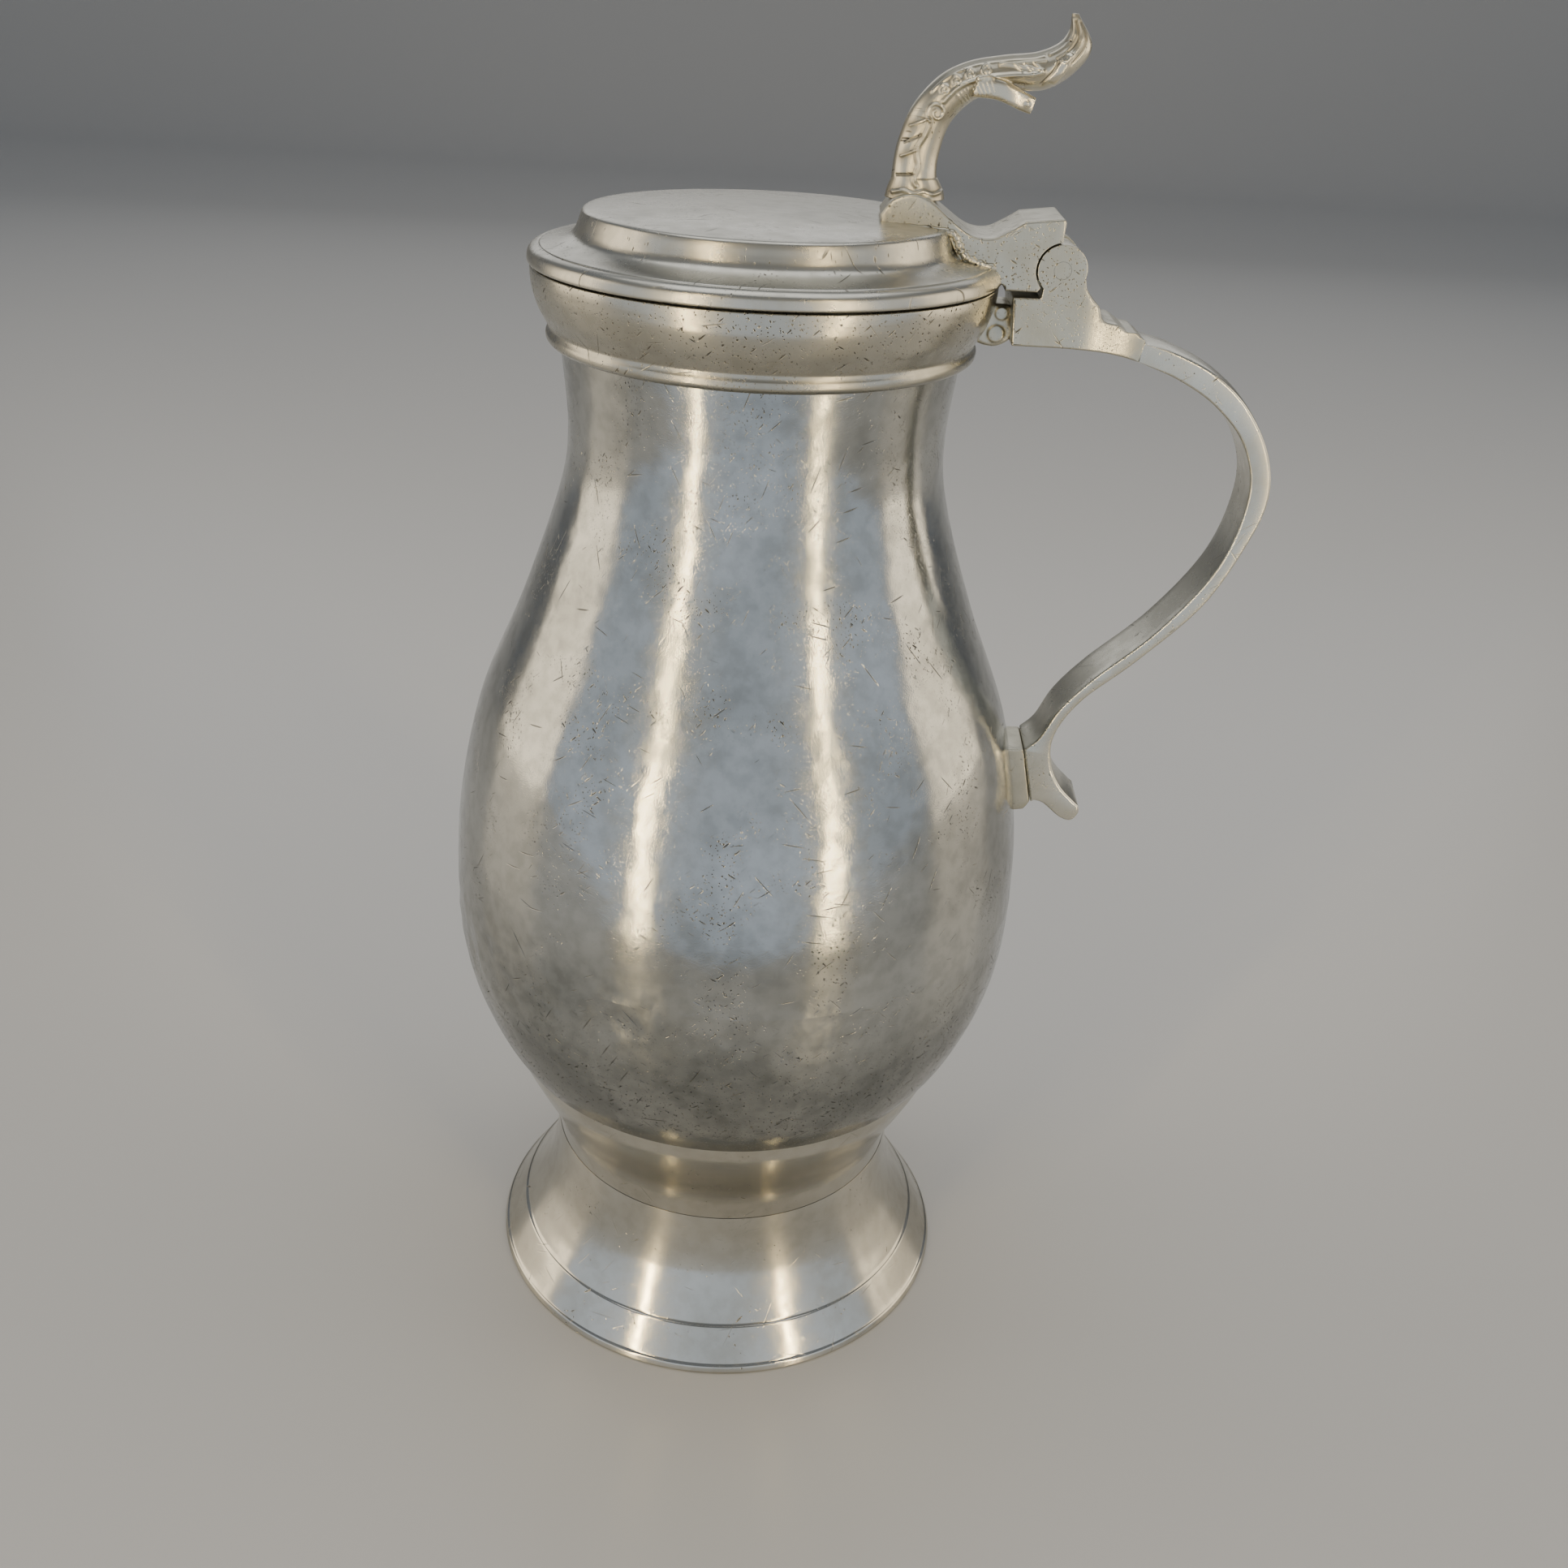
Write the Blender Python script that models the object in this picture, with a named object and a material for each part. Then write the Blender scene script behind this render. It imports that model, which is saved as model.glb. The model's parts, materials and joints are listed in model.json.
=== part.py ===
"""Lidded pewter flagon: pear-shaped body on a spool foot, strap handle and hinged lid.

The vessel's axis is +Z and its foot rests on Z = 0. The handle lies in the XZ plane, towards +X.
All sizes below are in millimetres and become metres where the meshes are made.
"""
import math

import bmesh
import bpy
from mathutils import Vector

MM = 0.001
GAP = 0.3                 # left between pieces that touch
SEGMENTS = 48             # facets round a turned piece
PIN_SEGMENTS = 24

# Driving dimensions of the vessel
SEAT_HEIGHT = 250.0       # plane where the lid rests on the lip
WALL = 2.0
FOOT_RADIUS = 58.0
FOOT_RING = 5.0           # width of the flat ring that the foot rests on
CREASE_HEIGHT = 36.5      # joint of foot and collar
WAIST_HEIGHT = 66.3       # joint of collar and bulb
BELLY_SEAM = 112.0        # joint of the two halves of the bulb
NECK_TOP = 234.2          # joint of neck and lip band
BELLY_RADIUS = 66.3
NECK_RADIUS = 39.6
LIP_RADIUS = 47.0

# Lid
LID_RADIUS = 47.6
PLATEAU_RADIUS = 36.5
PLATEAU_HEIGHT = 10.0     # above the seat
PLATEAU_CROWN = 1.0       # rise of the plateau at its centre
BEZEL_RADIUS = 43.8
BEZEL_DEPTH = 3.0

# Hinge and handle
HINGE_X = 58.2
HINGE_Z = 253.7
EAR_RADIUS = 4.8
TONGUE_RADIUS = 4.5
TONGUE_HALF_WIDTH = 4.3
PIN_RADIUS = 1.6
HINGE_HALF_WIDTH = 9.15
STRAP_HALF_WIDTH = 6.75


def clear_scene():
    for thing in list(bpy.data.objects):
        bpy.data.objects.remove(thing, do_unlink=True)


def pewter(name, color, roughness):
    """A Principled material for one piece."""
    made = bpy.data.materials.new(name)
    made.use_nodes = True
    shader = made.node_tree.nodes["Principled BSDF"]
    shader.inputs["Base Color"].default_value = (*color, 1.0)
    shader.inputs["Metallic"].default_value = 1.0
    shader.inputs["Roughness"].default_value = roughness
    return made


def smooth(points, steps):
    """Catmull-Rom curve through the points, with `steps` samples to a span."""
    ends = [2 * Vector(points[0]) - Vector(points[1])]
    ends += [Vector(p) for p in points]
    ends.append(2 * Vector(points[-1]) - Vector(points[-2]))
    curve = []
    for i in range(1, len(ends) - 2):
        before, start, stop, after = ends[i - 1:i + 3]
        for k in range(steps):
            t = k / steps
            bend = (2 * before - 5 * start + 4 * stop - after) * t * t
            twist = (3 * start - before - 3 * stop + after) * t ** 3
            curve.append((2 * start + (stop - before) * t + bend + twist) / 2)
    curve.append(ends[-2])
    return [tuple(p) for p in curve]


def arc(centre, radius, start, stop, steps):
    """Points on an arc, angles in degrees."""
    points = []
    for k in range(steps + 1):
        angle = math.radians(start + (stop - start) * k / steps)
        points.append((centre[0] + radius * math.cos(angle), centre[1] + radius * math.sin(angle)))
    return points


def inside(outer, wall):
    """The same profile moved inwards by the wall, for an outer profile that runs upwards."""
    moved = []
    for i, point in enumerate(outer):
        before = Vector(outer[max(i - 1, 0)])
        after = Vector(outer[min(i + 1, len(outer) - 1)])
        along = (after - before).normalized()
        moved.append((point[0] - wall * along.y, point[1] + wall * along.x))
    return moved


def finish(name, mesh, material, sharp=35.0):
    made = bpy.data.objects.new(name, mesh)
    bpy.context.collection.objects.link(made)
    mesh.materials.append(material)
    mesh.shade_smooth()
    mesh.set_sharp_from_angle(angle=math.radians(sharp))
    return made


def turned(name, profile, material, segments=SEGMENTS):
    """Solid of revolution about Z from a closed (radius, height) profile."""
    shape = bmesh.new()
    verts = [shape.verts.new((r * MM, 0.0, z * MM)) for r, z in profile]
    edges = [shape.edges.new((a, b)) for a, b in zip(verts, verts[1:] + verts[:1])]
    bmesh.ops.spin(shape, geom=verts + edges, cent=(0, 0, 0), axis=(0, 0, 1),
                   angle=2 * math.pi, steps=segments, use_merge=True)
    bmesh.ops.remove_doubles(shape, verts=shape.verts, dist=1e-6)
    bmesh.ops.recalc_face_normals(shape, faces=shape.faces)
    mesh = bpy.data.meshes.new(name)
    shape.to_mesh(mesh)
    shape.free()
    return finish(name, mesh, material)


def plate(name, outline, half_width, material):
    """Upright solid from an outline in the XZ plane. half_width is a number or a function of x."""
    width_at = half_width if callable(half_width) else (lambda x: half_width)
    shape = bmesh.new()
    near = [shape.verts.new((x * MM, -width_at(x) * MM, z * MM)) for x, z in outline]
    far = [shape.verts.new((x * MM, width_at(x) * MM, z * MM)) for x, z in outline]
    shape.faces.new(near)
    shape.faces.new(far)
    for i in range(len(outline)):
        j = (i + 1) % len(outline)
        shape.faces.new((near[i], near[j], far[j], far[i]))
    bmesh.ops.recalc_face_normals(shape, faces=shape.faces)
    bmesh.ops.triangulate(shape, faces=[f for f in shape.faces if len(f.verts) > 4])
    mesh = bpy.data.meshes.new(name)
    shape.to_mesh(mesh)
    shape.free()
    return finish(name, mesh, material)


def cross_bar(name, radius, half_width, material, segments=PIN_SEGMENTS):
    """Round bar along Y on the hinge axis, with its origin on that axis."""
    shape = bmesh.new()
    bmesh.ops.create_cone(shape, cap_ends=True, segments=segments, radius1=radius * MM,
                          radius2=radius * MM, depth=2 * half_width * MM)
    mesh = bpy.data.meshes.new(name)
    shape.to_mesh(mesh)
    shape.free()
    made = finish(name, mesh, material)
    made.rotation_euler = (math.pi / 2, 0, 0)
    made.location = (HINGE_X * MM, 0, HINGE_Z * MM)
    return made


def cut(piece, cutter, operation="DIFFERENCE"):
    """Boolean the piece with a cutter that stays hidden."""
    cutter.hide_render = True
    cutter.display_type = "WIRE"
    step = piece.modifiers.new(cutter.name, "BOOLEAN")
    step.operation = operation
    step.object = cutter
    step.solver = "EXACT"


# ---- vessel -------------------------------------------------------------------------------------

def make_foot(material):
    flare = smooth([(51.4, 10.4), (48.5, 15.2), (45.5, 21.4), (43.8, 28.2), (42.8, CREASE_HEIGHT - GAP)], 2)
    band = [(FOOT_RADIUS, 0.0), (FOOT_RADIUS, 0.8), (57.3, 2.1), (56.4, 2.9), (52.2, 9.6)]
    inner = inside(flare, 2.2)
    shell = [(FOOT_RADIUS - FOOT_RING, 0.0), *band, *flare, *reversed(inner), (51.0, 6.0)]
    return turned("foot", shell, material)


def make_collar(material):
    outer = smooth([(42.7, CREASE_HEIGHT), (43.5, 41.0), (45.0, 46.0), (47.4, 51.0), (51.3, 59.3),
                    (54.2, WAIST_HEIGHT - GAP)], 2)
    return turned("foot_collar", outer + list(reversed(inside(outer, WALL))), material)


def make_floor(material):
    radius = 47.6
    top = WAIST_HEIGHT - 6.3
    return turned("floor_disc", [(0, top - WALL), (radius, top - WALL), (radius, top), (0, top)], material)


def make_body_lower(material):
    outer = smooth([(54.6, WAIST_HEIGHT), (58.2, 73.2), (61.5, 81.0), (64.2, 89.5), (65.8, 99.0),
                    (BELLY_RADIUS, BELLY_SEAM - GAP)], 2)
    return turned("body_lower", outer + list(reversed(inside(outer, WALL))), material)


def make_body_upper(material):
    outer = smooth([(BELLY_RADIUS, BELLY_SEAM), (65.0, 130.0), (59.8, 155.0), (49.5, 180.0),
                    (41.6, 203.0), (NECK_RADIUS, 217.0), (41.0, NECK_TOP - GAP)], 2)
    return turned("body_upper", outer + list(reversed(inside(outer, WALL))), material)


def make_lip_band(material):
    outer = [(41.6, NECK_TOP), (43.7, 235.2), (43.9, 237.0), (43.5, 238.0)]
    outer += smooth([(43.8, 238.8), (45.5, 241.8), (46.6, 245.2), (LIP_RADIUS, SEAT_HEIGHT - GAP)], 2)
    inner = [(44.6, SEAT_HEIGHT - GAP), (44.1, 245.0), (41.8, 239.0), (39.2, NECK_TOP)]
    return turned("lip_band", outer + inner, material)


def lid_outside():
    """Lid profile from the rim's underside up to the centre."""
    top = SEAT_HEIGHT + PLATEAU_HEIGHT
    flange = [(LID_RADIUS - 0.5, SEAT_HEIGHT), (LID_RADIUS, 250.5), (LID_RADIUS - 0.2, 252.1),
              (46.5, 252.9), (45.2, 253.3), (41.4, 254.0)]
    cove = smooth([(41.4, 254.0), (38.7, 255.1), (37.4, 257.4), (PLATEAU_RADIUS - 0.2, top - 0.6)], 2)[1:]
    cove.append((PLATEAU_RADIUS - 1.4, top))
    crown = [(24.0, top + 0.6 * PLATEAU_CROWN), (0.0, top + PLATEAU_CROWN)]
    return flange + cove + crown


def make_lid_cover(material):
    top = SEAT_HEIGHT + PLATEAU_HEIGHT
    under = [(0.0, top - WALL), (34.0, top - WALL), (36.4, 254.0), (39.5, SEAT_HEIGHT)]
    return turned("lid_cover", lid_outside() + under, material)


def make_lid_bezel(material):
    top = SEAT_HEIGHT - GAP
    low = SEAT_HEIGHT - BEZEL_DEPTH
    ring = [(BEZEL_RADIUS - 2.4, low), (BEZEL_RADIUS - 0.4, low), (BEZEL_RADIUS, top), (BEZEL_RADIUS - 2.4, top)]
    return turned("lid_bezel", ring, material)


# ---- hinge --------------------------------------------------------------------------------------

def lug_half_width(x):
    """The lug widens from the thumbpiece to the edge of the plateau."""
    share = min(max((x - 22.0) / (PLATEAU_RADIUS - 22.0), 0.0), 1.0)
    return 6.5 + (HINGE_HALF_WIDTH - 6.5) * share


def make_lid_lug(material, tool):
    bottom = SEAT_HEIGHT - 0.7
    saddle = smooth([(22.2, 261.8), (24.4, 264.6), (27.9, 265.8), (31.2, 265.1), (35.2, 262.2),
                     (39.8, 259.3), (43.8, 258.8), (47.0, 260.2), (50.2, 262.2)], 2)
    rear = [(57.2, 263.1), (57.8, 262.6), (57.5, HINGE_Z + EAR_RADIUS + GAP)]
    scallop = arc((HINGE_X, HINGE_Z), EAR_RADIUS + 0.35, 98, 222, 10)
    outline = saddle + rear + scallop + [(53.9, bottom), (42.0, bottom), (22.2, 257.0)]
    lug = plate("lid_hinge_lug", outline, lug_half_width, material)
    half = TONGUE_HALF_WIDTH
    web = [(50.0, bottom), (HINGE_X, HINGE_Z - TONGUE_RADIUS)]
    web += arc((HINGE_X, HINGE_Z), TONGUE_RADIUS, -80, 90, 10)
    web += [(57.0, 262.0), (50.0, 261.0)]
    cut(lug, plate("tongue_shape", web, half, tool), "UNION")
    lid = turned("lid_shape", grown_lid(), tool)
    cut(lug, lid)
    cut(lug, cross_bar("tongue_bore", PIN_RADIUS + GAP, half + 1.0, tool))
    return lug


def grown_lid():
    """The lid's outside, one gap larger, down to below the lug."""
    outer = inside(lid_outside(), -GAP)
    outer[0] = (LID_RADIUS + GAP, SEAT_HEIGHT)
    outer[-1] = (0.0, outer[-1][1])
    return [(0.0, 240.0), (LID_RADIUS + GAP, 240.0)] + outer


def make_thumbpiece(material):
    front = smooth([(23.9, 268.0), (24.2, 273.0), (26.2, 280.2), (31.2, 286.3), (39.5, 289.8),
                    (49.0, 291.0), (54.0, 293.2), (55.4, 296.0)], 2)
    tip = [(54.7, 297.7), (55.8, 298.6), (57.6, 297.6)]
    back = smooth([(59.5, 294.0), (58.5, 290.0), (55.0, 286.4), (50.6, 284.0)], 2)
    barb = [(50.4, 281.4), (49.3, 280.6)]
    hook = smooth([(46.6, 281.8), (41.6, 283.3), (36.4, 281.2), (33.4, 275.4), (32.4, 270.0), (33.0, 266.9)], 2)
    outline = front + tip + back + barb + hook
    return plate("thumbpiece", outline + [(31.2, 266.6), (27.9, 267.2), (24.9, 266.6)], 4.6, material)


def bracket_half_width(x):
    """The bracket narrows from the hinge to the strap."""
    share = min(max((x - HINGE_X - EAR_RADIUS) / 12.0, 0.0), 1.0)
    return HINGE_HALF_WIDTH + (STRAP_HALF_WIDTH - HINGE_HALF_WIDTH) * share


def make_bracket(material, tool):
    ear = arc((HINGE_X, HINGE_Z), EAR_RADIUS, 228, -20, 18)
    crest = [(63.4, 250.6), (64.8, 248.6), (66.3, 247.2), (66.8, 245.3), (68.4, 244.2), (70.6, 243.8),
             (72.6, 242.7), (75.0, 242.2), (76.4, 240.8)]
    under = [(75.9, 236.8), (69.5, 238.2), (62.3, 238.9), (50.1, 238.9)]
    outline = ear + crest + under + [(49.3, 248.2), (54.6, 248.3)]
    bracket = plate("handle_bracket", outline, bracket_half_width, material)
    slot = arc((HINGE_X, HINGE_Z), TONGUE_RADIUS + 0.45, -90, 90, 12)
    slot += [(50.0, HINGE_Z + EAR_RADIUS + 1.0), (50.0, HINGE_Z - TONGUE_RADIUS - 0.45)]
    cut(bracket, cross_bar("ear_bore", PIN_RADIUS + GAP, HINGE_HALF_WIDTH + 2.0, tool))
    cut(bracket, plate("tongue_slot", slot, TONGUE_HALF_WIDTH + GAP, tool))
    return bracket


def make_pin(material):
    return cross_bar("hinge_pin", PIN_RADIUS, HINGE_HALF_WIDTH - 0.2, material)


# ---- handle -------------------------------------------------------------------------------------

def make_strap(material):
    outer = smooth([(76.7, 240.7), (83.5, 239.1), (92.0, 235.3), (99.4, 229.2), (105.2, 220.4), (107.4, 211.0),
                    (105.2, 201.0), (98.2, 186.0), (86.2, 172.2), (75.9, 162.1), (71.2, 153.6),
                    (71.4, 146.4), (74.1, 141.0), (78.0, 137.1)], 2)
    tail = [(79.0, 135.0), (77.4, 132.1), (74.3, 133.0), (70.6, 136.4), (67.6, 136.2)]
    inner = smooth([(64.6, 149.3), (67.6, 152.9), (71.0, 160.0), (77.4, 167.9), (89.4, 180.0), (99.5, 195.2),
                    (102.8, 210.5), (99.9, 221.0), (93.0, 228.5), (85.0, 233.3), (76.3, 236.7)], 2)
    return plate("handle_strap", outer + tail + inner, STRAP_HALF_WIDTH, material)


def belly_shape(tool):
    """Solid that clears the outside of the vessel by one gap."""
    outer = smooth([(BELLY_RADIUS, BELLY_SEAM), (65.0, 130.0), (59.8, 155.0), (49.5, 180.0)], 3)
    grown = inside(outer, -GAP)
    return turned("belly_shape", [(0.0, 100.0), (BELLY_RADIUS + GAP, 100.0), *grown, (0.0, 182.0)], tool)


def lip_shape(tool):
    """Solid that clears the outside of the lip band by one gap."""
    outer = [(43.9, 236.0), (43.9, 238.6), (45.5, 241.8), (46.6, 245.2), (LIP_RADIUS, 252.0)]
    return turned("lip_shape", [(0.0, 230.0), (43.9, 230.0), *inside(outer, -GAP), (0.0, 252.0)], tool)


def make_lower_lug(material, tool):
    pad = [(58.0, 149.0), (64.2, 149.0), (67.2, 136.4), (66.2, 134.0), (60.0, 133.4)]
    lug = plate("lower_lug", pad, STRAP_HALF_WIDTH - 0.6, material)
    cut(lug, belly_shape(tool))
    return lug


def make_upper_strut(material, tool):
    scroll = [(40.0, 245.4), (48.6, 245.9), (49.5, 243.0), (49.75, 239.4), (46.0, 238.2), (40.0, 237.6)]
    strut = plate("upper_strut", scroll, 4.6, material)
    cut(strut, lip_shape(tool))
    return strut


def main():
    clear_scene()
    tool = pewter("guide", (0.8, 0.2, 0.2), 0.5)
    make_foot(pewter("polished_foot", (0.60, 0.59, 0.55), 0.28))
    make_collar(pewter("collar_pewter", (0.56, 0.55, 0.50), 0.32))
    make_floor(pewter("floor_pewter", (0.40, 0.39, 0.37), 0.5))
    make_body_lower(pewter("bulb_pewter", (0.50, 0.49, 0.46), 0.4))
    make_body_upper(pewter("neck_pewter", (0.50, 0.49, 0.46), 0.38))
    make_lip_band(pewter("lip_pewter", (0.54, 0.53, 0.49), 0.36))
    make_lid_cover(pewter("lid_pewter", (0.56, 0.55, 0.51), 0.34))
    make_lid_bezel(pewter("bezel_pewter", (0.48, 0.47, 0.44), 0.45))
    make_lid_lug(pewter("lug_pewter", (0.58, 0.57, 0.52), 0.36), tool)
    make_thumbpiece(pewter("thumbpiece_pewter", (0.62, 0.60, 0.53), 0.38))
    make_bracket(pewter("bracket_pewter", (0.58, 0.57, 0.52), 0.38), tool)
    make_pin(pewter("pin_pewter", (0.52, 0.51, 0.48), 0.4))
    make_strap(pewter("strap_pewter", (0.62, 0.62, 0.59), 0.32))
    make_lower_lug(pewter("lower_lug_pewter", (0.60, 0.58, 0.52), 0.4), tool)
    make_upper_strut(pewter("strut_pewter", (0.56, 0.54, 0.48), 0.42), tool)


main()
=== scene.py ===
"""Finished look of a lidded pewter flagon: turned body and lid, cast hinge, strap handle and thumbpiece.

Lengths are in metres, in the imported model's frame: the vessel's axis is +Z and the handle is towards +X.
Outlines are written in millimetres and turned to metres by MM where the meshes are made.
"""
import json
import math

import bmesh
import bpy
import numpy as np
from mathutils import Matrix, Vector
from mathutils.geometry import tessellate_polygon


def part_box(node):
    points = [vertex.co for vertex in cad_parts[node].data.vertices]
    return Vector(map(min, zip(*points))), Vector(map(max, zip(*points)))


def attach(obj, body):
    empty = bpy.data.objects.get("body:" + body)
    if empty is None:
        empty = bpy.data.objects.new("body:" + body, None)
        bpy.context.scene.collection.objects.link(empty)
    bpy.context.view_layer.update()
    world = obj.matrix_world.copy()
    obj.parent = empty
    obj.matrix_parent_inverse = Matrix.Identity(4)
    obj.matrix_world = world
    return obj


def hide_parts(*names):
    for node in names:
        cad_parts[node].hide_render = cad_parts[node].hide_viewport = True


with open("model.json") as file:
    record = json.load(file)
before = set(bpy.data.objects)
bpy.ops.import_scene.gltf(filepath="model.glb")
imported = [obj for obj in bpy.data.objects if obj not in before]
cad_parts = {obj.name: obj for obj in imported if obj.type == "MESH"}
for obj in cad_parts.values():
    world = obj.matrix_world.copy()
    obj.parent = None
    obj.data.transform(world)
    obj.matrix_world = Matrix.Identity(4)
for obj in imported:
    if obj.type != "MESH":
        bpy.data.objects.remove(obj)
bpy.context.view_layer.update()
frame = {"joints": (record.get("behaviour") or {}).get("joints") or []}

MM = 0.001
hinge = Vector(frame["joints"][0]["pos_m"]) / MM


def top_of(node):
    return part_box(node)[1][2] / MM


def radius_of(node):
    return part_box(node)[1][1] / MM


# Heights and sizes that the frame fixes, in millimetres
CREASE = top_of("foot")
WAIST = top_of("foot_collar")
SEAM = top_of("body_lower")
NECK = top_of("body_upper")
SEAT = top_of("lip_band")
FOOT_R = radius_of("foot")
BELLY_R = radius_of("body_upper") - 0.1
LIP_R = radius_of("lip_band")
LID_R = radius_of("lid_cover")
HINGE_HALF = radius_of("lid_hinge_lug")
STRAP_HALF = radius_of("handle_strap")
LID_TOP = top_of("lid_cover")
GAP = 0.3
WALL = 2.0
EAR_R = 4.8
TONGUE_R = 4.5
TONGUE_HALF = 4.3


# ---- small tools --------------------------------------------------------------------------------

def linear(code):
    """sRGB hex colour as linear RGBA."""
    parts = [int(code[i:i + 2], 16) / 255 for i in (1, 3, 5)]
    return (*[c / 12.92 if c <= 0.04045 else ((c + 0.055) / 1.055) ** 2.4 for c in parts], 1.0)


def add(tree, kind, links=None, **settings):
    """Adds a node. Settings that name a property set it; links maps an input to a socket or a value."""
    made = tree.nodes.new(kind)
    for key, value in settings.items():
        setattr(made, key, value)
    for key, value in (links or {}).items():
        if isinstance(value, bpy.types.NodeSocket):
            tree.links.new(value, made.inputs[key])
        else:
            made.inputs[key].default_value = value
    return made


def math_node(tree, operation, *values):
    return add(tree, "ShaderNodeMath", dict(enumerate(values)), operation=operation).outputs[0]


def color_mix(tree, share, first, second):
    """Colour between two, each a socket or a colour."""
    return add(tree, "ShaderNodeMix", {0: share, 6: first, 7: second}, data_type="RGBA").outputs[2]


def smooth(points, steps):
    """Catmull-Rom curve through the points, with `steps` samples to a span."""
    ends = [2 * Vector(points[0]) - Vector(points[1])]
    ends += [Vector(p) for p in points]
    ends.append(2 * Vector(points[-1]) - Vector(points[-2]))
    curve = []
    for i in range(1, len(ends) - 2):
        before, start, stop, after = ends[i - 1:i + 3]
        for k in range(steps):
            t = k / steps
            bend = (2 * before - 5 * start + 4 * stop - after) * t * t
            twist = (3 * start - before - 3 * stop + after) * t ** 3
            curve.append((2 * start + (stop - before) * t + bend + twist) / 2)
    curve.append(ends[-2])
    return [tuple(p) for p in curve]


def arc(centre, radius, start, stop, steps):
    points = []
    for k in range(steps + 1):
        angle = math.radians(start + (stop - start) * k / steps)
        points.append((centre[0] + radius * math.cos(angle), centre[1] + radius * math.sin(angle)))
    return points


def inside(outer, wall):
    """The same profile moved inwards by the wall, for an outer profile that runs upwards."""
    moved = []
    for i, point in enumerate(outer):
        before = Vector(outer[max(i - 1, 0)])
        after = Vector(outer[min(i + 1, len(outer) - 1)])
        along = (after - before).normalized()
        moved.append((point[0] - wall * along.y, point[1] + wall * along.x))
    return moved


def eased(points, radius, closed=True, steps=4):
    """Rounds each corner that turns more than 22 degrees, over `radius` on both sides of it."""
    count = len(points)
    made = []
    for i, point in enumerate(points):
        here = Vector(point)
        if not closed and i in (0, count - 1):
            made.append(tuple(here))
            continue
        back = Vector(points[i - 1]) - here
        ahead = Vector(points[(i + 1) % count]) - here
        if back.length < 1e-6 or ahead.length < 1e-6 or back.angle(-ahead) < math.radians(22):
            made.append(tuple(here))
            continue
        start = here + back.normalized() * min(radius, 0.45 * back.length)
        stop = here + ahead.normalized() * min(radius, 0.45 * ahead.length)
        for k in range(steps + 1):
            t = k / steps
            made.append(tuple(start * (1 - t) ** 2 + here * 2 * t * (1 - t) + stop * t * t))
    return made


def keep(name, mesh, material, sharp=40.0):
    """Object at the origin with that mesh, smooth apart from sharp edges, faces out."""
    shape = bmesh.new()
    shape.from_mesh(mesh)
    if shape.calc_volume(signed=True) < 0:
        bmesh.ops.reverse_faces(shape, faces=shape.faces)
    shape.to_mesh(mesh)
    shape.free()
    mesh.materials.clear()
    mesh.materials.append(material)
    mesh.shade_smooth()
    mesh.set_sharp_from_angle(angle=math.radians(sharp))
    made = bpy.data.objects.new(name, mesh)
    bpy.context.collection.objects.link(made)
    return made


def evaluated(source):
    """Plain mesh of an object as its modifiers leave it. The object is removed."""
    bpy.context.view_layer.update()
    graph = bpy.context.evaluated_depsgraph_get()
    mesh = bpy.data.meshes.new_from_object(source.evaluated_get(graph))
    bpy.data.objects.remove(source, do_unlink=True)
    return mesh


def settle(piece, body, slot, *nodes):
    """Rides the piece on its body, standing for its CAD nodes. The slot is not used."""
    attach(piece, body)
    if nodes:
        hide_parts(*nodes)
    return piece


# ---- turned pieces: one Geometry Nodes tree -------------------------------------------------------

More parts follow.
